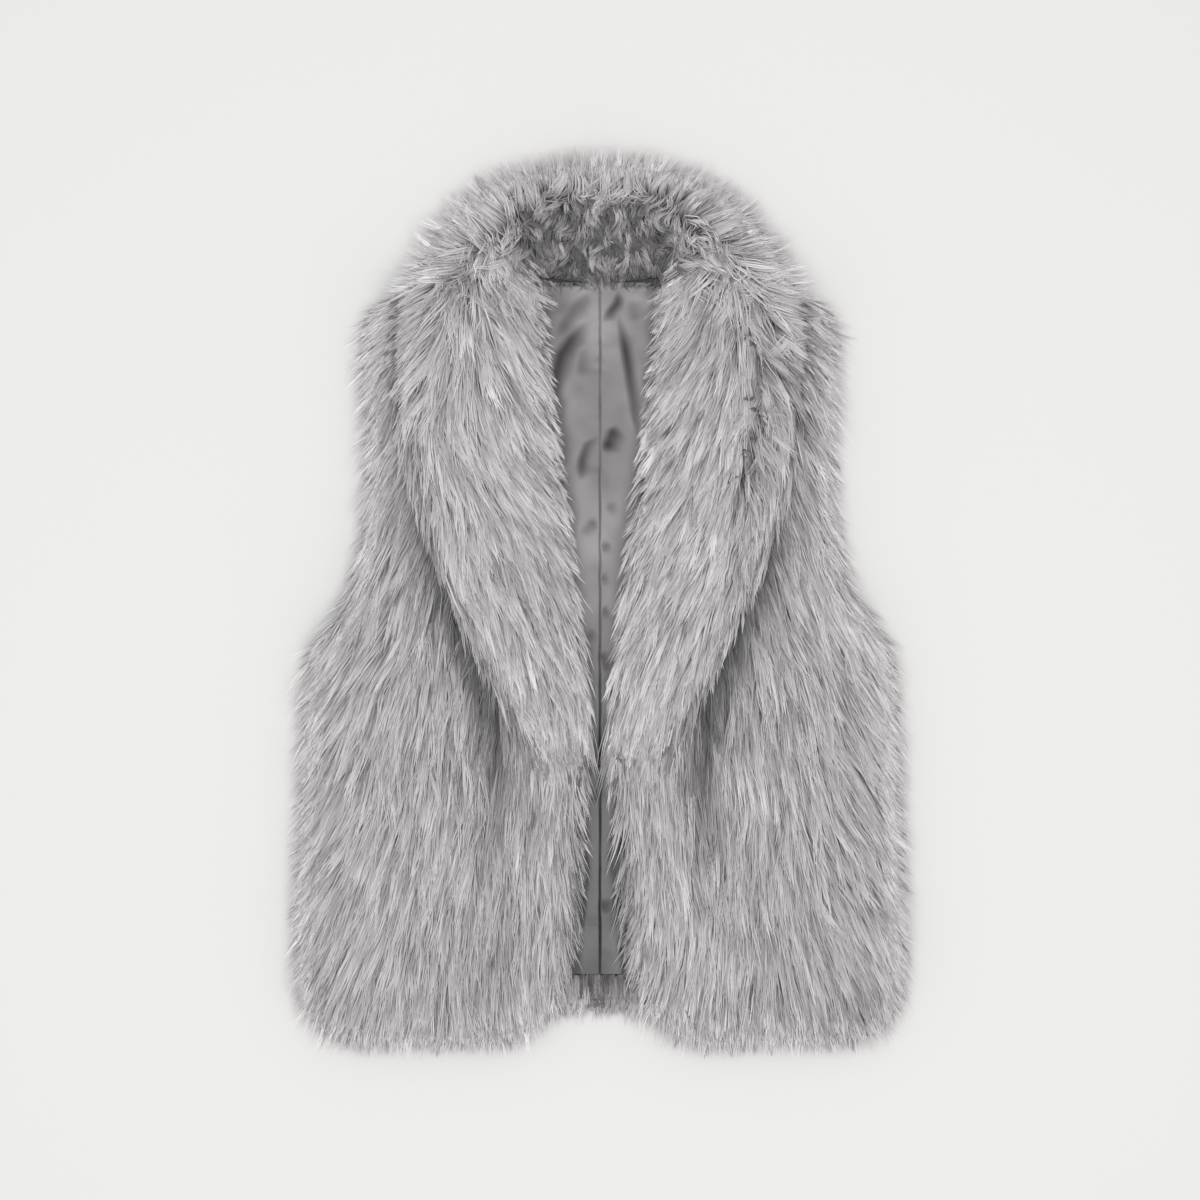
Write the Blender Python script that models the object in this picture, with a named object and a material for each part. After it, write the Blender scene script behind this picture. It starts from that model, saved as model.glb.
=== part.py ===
"""Sleeveless fur cloth vest with a shawl collar, laid flat on its back.

The wearer's left is at +X and the collar is at +Y. The underside lies on Z = 0, and the origin is at the
bottom centre of the vest's box. Tables and sizes are in millimetres, and MM turns them into metres.
Every fur piece is as thick as its cloth and its lying pile together. The pieces are kept SEAM apart.
"""
import math

import bmesh
import bpy

MM = 0.001
SEAM = 0.3

# Overall sizes
HALF_LENGTH = 355.0
BACK_THICK = 14.0
LINING_THICK = 1.0
FRONT_THICK = 18.4
LINING_LOW = BACK_THICK + SEAM
LINING_TOP = LINING_LOW + LINING_THICK
FRONT_LOW = LINING_TOP + SEAM
FRONT_TOP = FRONT_LOW + FRONT_THICK
COLLAR_LOW = FRONT_TOP + SEAM

# Shoulder and neck line, the same for the back, its lining and the fronts
NECK_Y = 256.5
NECK_RISE = 3.5
NECK_HALF = 50.0
SHOULDER_END_X = 165.0
SHOULDER_END_Y = 248.0
TIP_X = 184.0
TIP_Y = 236.0
SHOULDER_FADE = 86.0

# Back hem, shorter than the fronts and arched up in the middle
HEM_START = -300.0
HEM_SQUEEZE = 0.8
ARCH_RISE = 17.0
ARCH_HALF = 110.0

# Lining, and the raised rim of the back outside it
RIM = 12.0
RIM_STEP = 1.0
LINING_INSET = RIM + RIM_STEP + 0.5
RIM_START_X = 58.0
LINING_TOP_INSET = 16.0
LINING_END = -298.7
FACING_END = -345.0
FACING_BULGE = 6.0
FACING_BULGE_HALF = 18.0

# Softening of the outline's table, which stops short of the hem corner
OUTLINE_SOFT = 4.0
HEM_CORNER = 25.0

# Rounding of the pile at free edges
EDGE_ROUND = 16.0
EDGE_STEPS = (0.0, 1.5, 5.0, 10.0, EDGE_ROUND)
UNDER_ROUND = 5.0
FLOOR_ROUND = 7.0
EDGE_LEAST = 2.4
ARMHOLE_PART = 3.0
ARMHOLE_LOW = -36.0
ARMHOLE_HIGH = 222.0

# Forms of a front: its crown, the full band along its edge and the trough beside the band
CROWN = 3.0
CROWN_REACH = 45.0
COLLAR_MARGIN = 26.0
BAND_RISE = 8.0
BAND_AT = 34.0
BAND_HALF = 26.0
BAND_START = -140.0
BAND_FADE = 40.0
TROUGH_DEPTH = 2.5
TROUGH_AT = 82.0
TROUGH_HALF = 15.0
TROUGH_END = -260.0

# y, half width: shoulder tip, armhole, underarm, side and hem corner
SIDE = (
    (236.0, 184.0), (228.0, 188.5), (215.0, 191.0), (190.0, 190.5), (150.0, 188.0), (110.0, 186.5),
    (75.0, 187.5), (45.0, 191.5), (20.0, 198.0), (0.0, 208.0), (-18.0, 222.0), (-32.0, 232.0),
    (-48.0, 236.5), (-80.0, 238.0), (-150.0, 241.0), (-220.0, 244.0), (-285.0, 246.0), (-315.0, 244.0),
    (-335.0, 238.0), (-347.0, 226.0), (-353.0, 210.0), (-355.0, 196.0),
)

# y, x: the edge of a front at the opening, from the neck to the hem corner
FRONT_EDGE = (
    (262.0, 57.0), (235.0, 54.0), (180.0, 48.0), (112.0, 40.0), (38.0, 31.0), (-32.0, 22.0),
    (-86.0, 17.0), (-120.0, 14.0), (-158.0, 13.0), (-238.0, 16.0), (-286.0, 20.0), (-318.0, 28.0),
    (-336.0, 40.0), (-348.0, 56.0), (-355.0, 74.0),
)

# Rows across the body, at the height where each meets the side
ROWS = (
    -355.0, -353.5, -350.0, -345.0, -338.0, -325.0, -312.0, -298.7, -262.0, -215.0, -165.0, -140.0,
    -125.0, -85.0, -50.0, -36.0, -24.0, -10.0, 6.0, 26.0, 55.0, 95.0, 140.0, 180.0, 206.0, 219.0,
    226.0, 231.0, 234.5, 236.0,
)

# Where the collar's points lie across its width, and how steeply it falls past its crest
COLLAR_SHARES = (0.0, 0.02, 0.06, 0.13, 0.23, 0.35, 0.47, 0.59, 0.7, 0.8, 0.88, 0.94, 0.98, 1.0)
COLLAR_FALL = 2.4

# A collar half from the centre-back seam to its end:
# inner x, y, outer x, y, height of the underside, of the inner lip, of the crest and of the outer rim,
# and where the crest is, as a share of the width
COLLAR = (
    (0.15, 257.0, 0.15, 355.0, 0.0, 17.0, 60.0, 22.0, 0.64),
    (17.0, 257.4, 41.0, 351.5, 0.0, 17.0, 60.0, 22.0, 0.63),
    (33.0, 258.7, 80.0, 341.0, 0.0, 18.5, 60.0, 22.0, 0.60),
    (44.0, 260.2, 111.0, 321.5, 0.0, 22.0, 60.0, 23.0, 0.55),
    (48.6, 261.0, 133.0, 297.5, 0.0, 28.0, 59.0, 28.0, 0.50),
    (50.2, 261.7, 149.0, 271.5, 0.0, 36.0, 58.0, 36.0, 0.46),
    (50.8, 262.0, 159.0, 251.2, 0.0, 42.0, 57.5, 43.0, 0.44),
    (51.0, 261.4, 159.8, 250.2, COLLAR_LOW, 42.5, 57.5, 43.5, 0.44),
    (49.6, 252.0, 163.5, 233.0, COLLAR_LOW, 43.0, 57.0, 43.5, 0.42),
    (47.5, 235.0, 165.5, 206.0, COLLAR_LOW, 43.0, 56.5, 43.5, 0.41),
    (44.5, 212.0, 164.0, 173.0, COLLAR_LOW, 43.0, 56.0, 43.5, 0.40),
    (41.5, 180.0, 159.5, 139.0, COLLAR_LOW, 43.0, 56.0, 43.5, 0.40),
    (38.0, 148.0, 152.0, 105.0, COLLAR_LOW, 43.0, 56.0, 43.5, 0.40),
    (34.0, 112.0, 141.5, 68.0, COLLAR_LOW, 43.0, 56.0, 43.5, 0.41),
    (29.5, 76.0, 128.5, 33.0, COLLAR_LOW, 43.0, 56.0, 43.5, 0.42),
    (24.5, 38.0, 114.0, -2.0, COLLAR_LOW, 43.0, 55.5, 43.5, 0.43),
    (19.5, 2.0, 99.5, -34.0, COLLAR_LOW, 43.0, 55.0, 43.0, 0.44),
    (15.5, -32.0, 87.0, -60.0, COLLAR_LOW, 43.0, 54.0, 42.5, 0.45),
    (12.5, -62.0, 76.0, -81.0, COLLAR_LOW, 42.5, 52.5, 42.0, 0.46),
    (11.2, -86.0, 65.5, -98.0, COLLAR_LOW, 42.0, 50.5, 41.5, 0.47),
    (11.2, -104.0, 53.0, -112.0, COLLAR_LOW, 41.5, 48.0, 41.0, 0.48),
    (12.4, -117.0, 40.0, -122.0, COLLAR_LOW, 40.5, 45.0, 40.0, 0.50),
    (14.6, -125.5, 29.0, -127.5, COLLAR_LOW, 39.0, 41.5, 39.0, 0.50),
)


def ease(t):
    """Smooth step from 0 at t = 0 to 1 at t = 1."""
    t = min(max(t, 0.0), 1.0)
    return t * t * (3.0 - 2.0 * t)


def bell(t):
    """Smooth bump of height 1 at t = 0."""
    return math.exp(-t * t)


def read(table, key):
    """Straight reading of the second column of a table whose first column falls."""
    if key >= table[0][0]:
        return table[0][1]
    for above, below in zip(table, table[1:]):
        if key >= below[0]:
            share = (key - below[0]) / (above[0] - below[0])
            return below[1] + share * (above[1] - below[1])
    return table[-1][1]


def smooth_read(table, key):
    """Reading rounded off over a few millimetres, so that the outline has no corners."""
    reach = OUTLINE_SOFT if abs(key) < HALF_LENGTH - HEM_CORNER else 0.0
    return (read(table, key - reach) + 2.0 * read(table, key) + read(table, key + reach)) / 4.0


def rounded(distance, radius, height):
    """How far a surface has fallen, at a distance from its edge, round a quarter ellipse."""
    if distance >= radius:
        return 0.0
    t = 1.0 - max(distance, 0.0) / radius
    return height * (1.0 - math.sqrt(max(1.0 - t * t, 0.0)))


def shoulder_line(x):
    """Height in plan of the neck and shoulder seam."""
    x = abs(x)
    if x <= NECK_HALF:
        return NECK_Y + NECK_RISE * (x / NECK_HALF) ** 2
    corner = NECK_Y + NECK_RISE
    if x <= SHOULDER_END_X:
        share = (x - NECK_HALF) / (SHOULDER_END_X - NECK_HALF)
        return corner + share * (SHOULDER_END_Y - corner)
    share = min((x - SHOULDER_END_X) / (TIP_X - SHOULDER_END_X), 1.0)
    return SHOULDER_END_Y + share * (TIP_Y - SHOULDER_END_Y)


def front_y(x, row):
    """Plan height of a front's point: the rows bend up to the shoulder line at the top."""
    fade = ease((row - TIP_Y + SHOULDER_FADE) / SHOULDER_FADE)
    return row + (shoulder_line(x) - TIP_Y) * fade


def back_y(x, row):
    """Plan height of a back's point: as a front's, with the hem shortened and arched."""
    if row >= HEM_START:
        return front_y(x, row)
    depth = (HEM_START - row) / (HEM_START + HALF_LENGTH)
    short = HEM_START + (row - HEM_START) * HEM_SQUEEZE
    arch = max(1.0 - (x / ARCH_HALF) ** 2, 0.0) ** 2
    return short + ARCH_RISE * arch * ease(depth)


def spread(start, end, from_start, from_end, middle):
    """Positions from start to end: given distances at both ends, even spacing between."""
    first = [start + step for step in from_start]
    last = [end - step for step in reversed(from_end)]
    room = last[0] - first[-1]
    between = [first[-1] + room * (k + 1) / (middle + 1) for k in range(middle)]
    return first + between + last


def armhole_part(row):
    """How far front and back part at the armhole edge, where no seam joins them."""
    if not ARMHOLE_LOW < row < ARMHOLE_HIGH:
        return 0.0
    share = (row - ARMHOLE_LOW) / (ARMHOLE_HIGH - ARMHOLE_LOW)
    return ARMHOLE_PART * math.sqrt(math.sin(math.pi * share))


def collar_clearance(x, y):
    """Distance of a plan point outside the collar's footprint, less than 0 under it."""
    outline = [(row[3], row[2]) for row in COLLAR]
    beyond = x - read(outline, y)
    below = COLLAR[-1][3] - y
    return max(beyond, below)


def material(name, colour, roughness):
    """Plain finish of a piece."""
    finish = bpy.data.materials.new(name)
    finish.use_nodes = True
    shader = finish.node_tree.nodes["Principled BSDF"]
    shader.inputs["Base Color"].default_value = (*colour, 1.0)
    shader.inputs["Roughness"].default_value = roughness
    shader.inputs["Metallic"].default_value = 0.0
    return finish


def slab(name, low, high, finish):
    """Closed body between two grids of points, low and high, of the same size."""
    rows, columns = len(low), len(low[0])
    points = [[value * MM for value in point] for grid in (low, high) for row in grid for point in row]

    def index(level, row, column):
        return (level * rows + row) * columns + column

    faces = []
    for row in range(rows - 1):
        for column in range(columns - 1):
            for level in (0, 1):
                faces.append((
                    index(level, row, column), index(level, row, column + 1),
                    index(level, row + 1, column + 1), index(level, row + 1, column),
                ))
    border = [(0, column) for column in range(columns)]
    border += [(row, columns - 1) for row in range(1, rows)]
    border += [(rows - 1, column) for column in range(columns - 2, -1, -1)]
    border += [(row, 0) for row in range(rows - 2, 0, -1)]
    for here, there in zip(border, border[1:] + border[:1]):
        faces.append((index(0, *here), index(0, *there), index(1, *there), index(1, *here)))

    mesh = bpy.data.meshes.new(name)
    mesh.from_pydata(points, [], faces)
    shape = bmesh.new()
    shape.from_mesh(mesh)
    bmesh.ops.recalc_face_normals(shape, faces=shape.faces)
    shape.to_mesh(mesh)
    shape.free()
    mesh.shade_smooth()
    mesh.set_sharp_from_angle(angle=math.radians(40.0))
    mesh.materials.append(finish)
    piece = bpy.data.objects.new(name, mesh)
    bpy.context.collection.objects.link(piece)
    return piece


def back_rim(x, row):
    """Rise of the back outside its lining, at the side, armhole and shoulder seams."""
    from_side = smooth_read(SIDE, row) - abs(x)
    at_shoulder = TIP_Y - row < RIM and abs(x) > RIM_START_X
    return LINING_TOP - BACK_THICK if from_side < RIM or at_shoulder else 0.0


def make_back(finish):
    """Back panel: flat underside, pile rounded at the edges, top side bare for the lining."""
    low, high = [], []
    top_rows = [row for row in ROWS if row < TIP_Y - RIM - RIM_STEP - 1.0]
    top_rows += [TIP_Y - RIM - RIM_STEP, TIP_Y - RIM + 0.1, 229.0, 233.0, 235.0, TIP_Y]
    for row in top_rows:
        half = smooth_read(SIDE, row)
        steps = (0.0, 2.0, 7.0, RIM - 0.1, RIM + RIM_STEP)
        inner = [RIM_START_X + RIM_STEP, RIM_START_X, NECK_HALF, NECK_HALF / 2, 0.0]
        outer = spread(inner[0], half, (0.0,), steps, 2)
        xs = [-x for x in reversed(outer)] + [-x for x in inner[1:]] + inner[-2:0:-1] + outer
        low_row, high_row = [], []
        for x in xs:
            y = back_y(x, row)
            from_side = half - abs(x)
            from_hem = y - back_y(x, ROWS[0])
            from_top = back_y(x, TIP_Y) - y if abs(x) > NECK_HALF else FLOOR_ROUND
            lift = max(rounded(d, FLOOR_ROUND, FLOOR_ROUND) for d in (from_side, from_hem, from_top))
            part = rounded(from_side, UNDER_ROUND, armhole_part(row))
            low_row.append((x, y, lift))
            high_row.append((x, y, BACK_THICK + back_rim(x, row) - part))
        low.append(low_row)
        high.append(high_row)
    return slab("back_panel", low, high, finish)


def lining_top_y(x):
    """Upper edge of the lining: the neck seam, then inside the shoulder rim."""
    if abs(x) <= NECK_HALF:
        return shoulder_line(x) - 2.0 * SEAM
    return shoulder_line(x) - LINING_TOP_INSET


def make_lining(name, side, finish):
    """Half of the back lining, from the centre-back seam to the rim of the back."""
    low, high = [], []
    rows = [row for row in ROWS if LINING_END <= row < 222.0]
    for number, row in enumerate(rows):
        half = smooth_read(SIDE, row) - LINING_INSET
        last = number == len(rows) - 1
        xs = [SEAM / 2, NECK_HALF / 2, NECK_HALF - 2.0]
        xs += spread(RIM_START_X, half, (0.0,), (0.0,), 2)
        low_row, high_row = [], []
        for x in xs:
            y = min(back_y(x, row), lining_top_y(x)) if not last else lining_top_y(x)
            low_row.append((side * x, y, LINING_LOW))
            high_row.append((side * x, y, LINING_TOP))
        low.append(low_row)
        high.append(high_row)
    return slab(name, low, high, finish)


def make_facing(finish):
    """Strip of fur cloth along the inside of the back hem, full where the fronts leave it bare."""
    low, high = [], []
    start = LINING_END - SEAM
    for row in (start, -305.0, -312.0, -325.0, -338.0, FACING_END):
        low_row, high_row = [], []
        half = smooth_read(SIDE, row) - LINING_INSET
        outer = spread(FACING_BULGE_HALF, half, (0.0,), (0.0,), 3)
        middle = [-12.0, -6.0, 0.0, 6.0, 12.0]
        share = (start - row) / (start - FACING_END)
        for x in [-x for x in reversed(outer)] + middle + outer:
            across = ease(1.0 - abs(x) / FACING_BULGE_HALF)
            along = math.sqrt(math.sin(math.pi * min(max(share, 0.02), 0.98)))
            y = back_y(x, row)
            low_row.append((x, y, LINING_LOW))
            high_row.append((x, y, LINING_TOP + FACING_BULGE * across * along))
        low.append(low_row)
        high.append(high_row)
    return slab("back_hem_facing", low, high, finish)


def front_height(x, y, edge):
    """Height of a front's pile: flat under the collar, crowned outside it, full along its edge."""
    clear = collar_clearance(x, y) - COLLAR_MARGIN
    crown = CROWN * ease(clear / CROWN_REACH)
    band = BAND_RISE * bell((x - edge - BAND_AT) / BAND_HALF) * ease((BAND_START - y) / BAND_FADE)
    along = ease((y - TROUGH_END) / BAND_FADE)
    trough = TROUGH_DEPTH * bell((x - edge - TROUGH_AT) / TROUGH_HALF) * ease(clear / BAND_FADE) * along
    return FRONT_TOP + crown + band - trough


def make_front(name, side, finish):
    """Front panel, from the opening to the side seam and armhole."""
    low, high = [], []
    for row in ROWS:
        edge = smooth_read(FRONT_EDGE, row)
        half = smooth_read(SIDE, row)
        low_row, high_row = [], []
        for x in spread(edge, half, EDGE_STEPS, EDGE_STEPS, 5):
            y = front_y(x, row)
            from_edge, from_side = x - edge, half - x
            from_hem, from_top = row - ROWS[0], front_y(x, TIP_Y) - y
            top = front_height(x, y, edge)
            fall = max(rounded(d, EDGE_ROUND, top - FRONT_LOW - EDGE_LEAST)
                       for d in (from_edge, from_side, from_hem, from_top))
            lift = max(rounded(d, UNDER_ROUND, UNDER_ROUND) for d in (from_edge, from_hem))
            lift = max(lift, rounded(from_side, UNDER_ROUND, armhole_part(row)))
            floor = FRONT_LOW + lift
            low_row.append((side * x, y, floor))
            high_row.append((side * x, y, max(top - fall, floor + EDGE_LEAST)))
        low.append(low_row)
        high.append(high_row)
    return slab(name, low, high, finish)


def finer(table):
    """A table with a smoothly curved row added between each two rows on the same base."""
    rows = [table[0]]
    for k in range(1, len(table)):
        here, there = table[k - 1], table[k]
        if here[4] == there[4]:
            before = table[k - 2] if k > 1 and table[k - 2][4] == here[4] else here
            after = table[k + 1] if k + 1 < len(table) and table[k + 1][4] == here[4] else there
            columns = zip(before, here, there, after)
            rows.append(tuple((9.0 * (b + c) - a - d) / 16.0 for a, b, c, d in columns))
        rows.append(there)
    return rows


def make_collar(name, side, finish):
    """Half of the shawl collar: a roll that stands at the back neck and lies on the front below it."""
    low, high = [], []
    for row in finer(COLLAR):
        inner_x, inner_y, outer_x, outer_y, base, lip, crest, rim, at = row
        width = math.hypot(outer_x - inner_x, outer_y - inner_y)
        stands = base == 0.0
        low_row, high_row = [], []
        for share in COLLAR_SHARES:
            x = inner_x + (outer_x - inner_x) * share
            y = inner_y + (outer_y - inner_y) * share
            if share <= at:
                top = lip + (crest - lip) * math.sin(math.pi / 2.0 * share / at)
            else:
                past = (share - at) / (1.0 - at)
                top = rim + (crest - rim) * math.sqrt(max(1.0 - past ** COLLAR_FALL, 0.0))
            lift = rounded((1.0 - share) * width, UNDER_ROUND, UNDER_ROUND)
            if not stands:
                lift = max(lift, rounded(share * width, UNDER_ROUND, UNDER_ROUND))
            low_row.append((side * x, y, base + min(lift, (rim - base) * 0.5)))
            high_row.append((side * x, y, top))
        low.append(low_row)
        high.append(high_row)
    return slab(name, low, high, finish)


def main():
    for thing in list(bpy.data.objects):
        bpy.data.objects.remove(thing, do_unlink=True)
    make_back(material("fur_back", (0.40, 0.385, 0.395), 0.85))
    make_facing(material("fur_facing", (0.34, 0.33, 0.34), 0.85))
    for name, side in (("left", 1.0), ("right", -1.0)):
        make_lining("lining_back_" + name, side, material("satin_" + name, (0.27, 0.255, 0.265), 0.38))
        make_front("front_" + name, side, material("fur_front_" + name, (0.42, 0.405, 0.415), 0.85))
        make_collar("collar_" + name, side, material("fur_collar_" + name, (0.46, 0.445, 0.45), 0.85))


main()
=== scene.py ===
"""Looks of the sleeveless fur cloth vest, laid flat on its back.

Every fur piece is a thin cloth on the form of its CAD solid, with a pile of tapered strands rooted in it.
The strands follow a comb field drawn by given guides, gather into locks, and lie on the solid's top.
Fronts and collar are worked out for the wearer's left half, and the right half is its mirror image.
Lengths are in millimetres until a mesh is made, and MM turns them into metres. Heights are above the floor.
"""

import math

import bpy
import numpy as np
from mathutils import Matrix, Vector
from mathutils.bvhtree import BVHTree
from mathutils.kdtree import KDTree


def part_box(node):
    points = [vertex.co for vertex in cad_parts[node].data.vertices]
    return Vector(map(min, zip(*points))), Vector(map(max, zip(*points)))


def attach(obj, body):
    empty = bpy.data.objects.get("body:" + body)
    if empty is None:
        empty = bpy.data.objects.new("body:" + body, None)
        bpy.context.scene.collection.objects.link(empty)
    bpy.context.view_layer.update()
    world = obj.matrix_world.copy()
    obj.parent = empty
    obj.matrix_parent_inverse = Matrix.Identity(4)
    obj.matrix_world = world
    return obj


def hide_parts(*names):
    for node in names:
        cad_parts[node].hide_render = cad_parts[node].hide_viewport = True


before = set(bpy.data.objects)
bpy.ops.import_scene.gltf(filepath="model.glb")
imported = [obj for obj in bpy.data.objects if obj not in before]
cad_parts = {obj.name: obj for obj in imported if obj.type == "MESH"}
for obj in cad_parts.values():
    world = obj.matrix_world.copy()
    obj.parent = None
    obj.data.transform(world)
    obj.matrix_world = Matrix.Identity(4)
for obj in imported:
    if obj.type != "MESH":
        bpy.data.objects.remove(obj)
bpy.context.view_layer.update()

MM = 0.001

# Step of a form's grid, how far the grid passes the solid, and how far random fields go from the middle
GRID = 2.5
MARGIN = 30.0
REACH = 420.0

# Strands: where their points are along them, and how wide they are there
LEVELS = np.array([0.0, 0.33, 0.68, 1.0])
TAPER = np.array([1.0, 0.95, 0.7, 0.0])

# One strand's points are three on its left, three on its right and the tip. Its faces go round these
# corners, two faces with four and one with three
CORNERS = np.array([0, 3, 4, 1, 1, 4, 5, 2, 2, 5, 6])
FACE_STARTS = np.array([0, 4, 8])

# The UV map has one column for each shade, and the shades spread over this range around 1
SHADES = 64
SHADE_RANGE = 1.5

# Furthest that a strand's tip goes from the middle, across and along
HALF_WIDTH = 255.0
HALF_LENGTH = 368.0

# Depth of the pile on its cloth, at the edge of a piece and well inside it
EDGE_DEPTH = 6.0
INNER_DEPTH = 12.0

# Thickness of the fur cloth, of the facing's cloth and of the satin
FUR_CLOTH = 1.6
FACING_CLOTH = 0.8
SATIN = 0.7

# Heights of the lining and of the facing's cloth, and how low strands go on what lies under them
LINING_TOP = 15.0
FACING_TOP = 15.3
ON_LINING = 16.4
ON_NECK = 17.4
ON_FACING = 15.7
ON_GROUND = 0.6

# y of the seam between back and collar, and of the facing's turn before the hem is arched
NECK_SEAM = 256.0
FACING_TURN = -335.0

# Thin loose strands that stand out at a free edge
WISPS = {"width": 0.5, "lock": 3.2, "pull": 0.4, "lay": 2.0, "trim": 1.0}

# Comb guides for the wearer's left half: x, y, angle from straight down towards the outside
FRONT_GUIDES = (
    (180, 230, 60), (178, 200, 40), (178, 150, 28), (175, 100, 22), (175, 60, 20), (180, 30, 25),
    (195, 0, 32), (215, -20, 38), (228, -45, 35), (144, 49, 15), (150, 0, 18), (120, -20, 5),
    (110, -60, 0), (170, -40, 22), (200, -80, 28), (225, -100, 35), (130, -100, 5), (160, -100, 12),
    (190, -130, 22), (225, -160, 35), (240, -200, 38), (150, -160, 8), (120, -160, 2), (100, -130, -3),
    (90, -180, -4), (70, -160, 18), (65, -200, 15), (60, -240, 8), (45, -180, -2), (30, -180, -14),
    (20, -220, -16), (100, -230, 0), (140, -230, 6), (180, -230, 16), (215, -240, 25), (240, -260, 32),
    (25, -260, -8), (50, -280, -2), (90, -290, 2), (140, -300, 6), (190, -300, 14), (225, -310, 24),
    (240, -320, 30), (25, -320, -10), (60, -335, 0), (120, -340, 4), (180, -345, 10), (215, -340, 22),
)
COLLAR_GUIDES = (
    (5, 335, 178), (60, 325, 155), (100, 300, 130), (115, 330, 140), (130, 275, 112), (144, 274, 105),
    (150, 250, 95), (165, 225, 70), (165, 200, 55), (10, 275, 20), (35, 275, -30), (30, 300, -40),
    (55, 250, -60), (75, 245, -50), (60, 240, -50), (55, 210, -42), (50, 170, -38), (80, 220, -28),
    (80, 180, -25), (75, 140, -28), (45, 130, -33), (45, 90, -30), (70, 100, -28), (40, 50, -28),
    (65, 60, -25), (90, 100, -20), (100, 150, -12), (100, 200, -8), (105, 240, 5), (140, 210, 35),
    (150, 230, 60), (155, 200, 30), (150, 170, 20), (145, 140, 14), (135, 110, 5), (125, 80, -4),
    (115, 40, -12), (105, 10, -17), (95, -20, -20), (85, -45, -22), (70, -75, -20), (30, 0, -26),
    (22, -40, -22), (18, -80, -9), (16, -110, -2), (50, 10, -24), (45, -30, -23), (40, -70, -16),
    (60, -50, -21), (28, -105, -6), (40, -105, -10),
)
BACK_GUIDES = (
    (0, 200, 0), (100, 200, 8), (170, 200, 35), (180, 100, 25), (180, 20, 28), (225, -40, 38),
    (0, 0, 0), (120, 0, 8), (0, -200, 0), (120, -200, 8), (235, -150, 36), (240, -260, 34),
    (0, -320, 0), (120, -320, 4), (200, -330, 16), (60, 255, 90), (120, 250, 100), (175, 238, 80),
)

# Lines on the wearer's left half, each point with a strength: the hollow in the front beside the collar, and
# the ragged parting of the collar
VALLEY = (
    (150, 110, 0.0), (143, 65, 0.45), (132, 22, 0.7), (119, -8, 0.9), (106, -38, 1.0), (95, -65, 1.0),
    (88, -88, 0.95), (84, -112, 0.85), (83, -142, 0.65), (85, -172, 0.45), (89, -205, 0.2), (92, -240, 0.0),
)
PARTING = ((131, 232, 0.4), (129, 200, 1.0), (126, 158, 1.0), (119, 110, 0.7), (110, 60, 0.5), (103, 25, 0.0))

# How strong the parting is on the wearer's right, next to the left
RIGHT_PARTING = 0.35

# Dark tufts beside the parting of the left collar, painted shade of gaps in the pile: x, y, radius
SPECKS = (
    (121, 163, 3.2), (127, 154, 3.0), (133, 148, 2.2), (122, 135, 3.4), (114, 121, 3.0), (103, 100, 2.6),
    (128, 176, 2.4), (116, 214, 2.4), (123, 207, 2.4),
)

# Creases of the lining in plan, from the photo: depth, half width, and the points that each follows
CREASES = (
    (1.5, 5.0, ((-6, 252), (-19, 239), (-28.5, 224), (-37, 211))),
    (2.3, 4.6, ((-3, 232), (-12, 224), (-23, 213), (-32, 200), (-36, 184), (-39, 170), (-37, 152))),
    (0.8, 4.0, ((-7, 208), (-14, 201), (-16, 180))),
    (2.2, 2.6, ((15.5, 253), (14.0, 242), (7, 233), (1, 227))),
    (2.5, 3.0, ((14.0, 238), (18.0, 215), (22.0, 192), (25.5, 170), (28.5, 150), (32.0, 128))),
    (0.9, 5.0, ((23.5, 246), (29, 226))),
    (2.9, 4.6, ((12.5, 144), (3.0, 121))),
    (2.0, 2.7, ((0, 137), (-11, 127), (-15, 115), (-16, 97))),
    (1.5, 6.0, ((-40, 185), (-38, 160), (-31, 130), (-27, 104))),
    (1.3, 3.8, ((-2, 69), (-16, 55))),
    (0.8, 4.4, ((14, 82), (5, 74))),
    (1.7, 4.0, ((8, 49), (1, 43))),
    (0.9, 3.4, ((7, 23), (0, 17))),
    (1.3, 3.0, ((1, -4), (5, -8), (9, -7))),
    (0.8, 3.2, ((-4, -20), (-12, -30))),
    (1.5, 3.4, ((-1, -38), (3, -47), (7, -57))),
    (0.8, 3.0, ((9, -200), (8, -208))),
    (1.4, 3.4, ((1, -240), (5, -252))),
    (1.0, 3.4, ((-1, -148), (-8, -162))),
)
HIDDEN_CREASES = (
    (0.5, 5.0, ((92, 120), (84, 60), (88, 10))),
    (0.5, 6.0, ((-96, 150), (-86, 90), (-92, 40))),
    (0.5, 6.0, ((130, -40), (122, -110), (132, -190))),
    (0.5, 5.0, ((-126, -60), (-118, -130), (-130, -210))),
    (0.4, 5.0, ((60, -230), (90, -262), (128, -278))),
    (0.4, 5.0, ((-64, -226), (-92, -258), (-134, -272))),
)


def ease(t):
    """Smooth step from 0 at t = 0 to 1 at t = 1."""
    t = np.clip(t, 0.0, 1.0)
    return t * t * (3.0 - 2.0 * t)


def blurred(grid, passes):
    """Grid averaged with its neighbours, a number of times."""
    for _ in range(passes):
        wide = np.pad(grid, 1, mode="edge")
        grid = (wide[:-2, 1:-1] + wide[2:, 1:-1] + wide[1:-1, :-2] + wide[1:-1, 2:] + 2.0 * grid) / 6.0
    return grid


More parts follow.
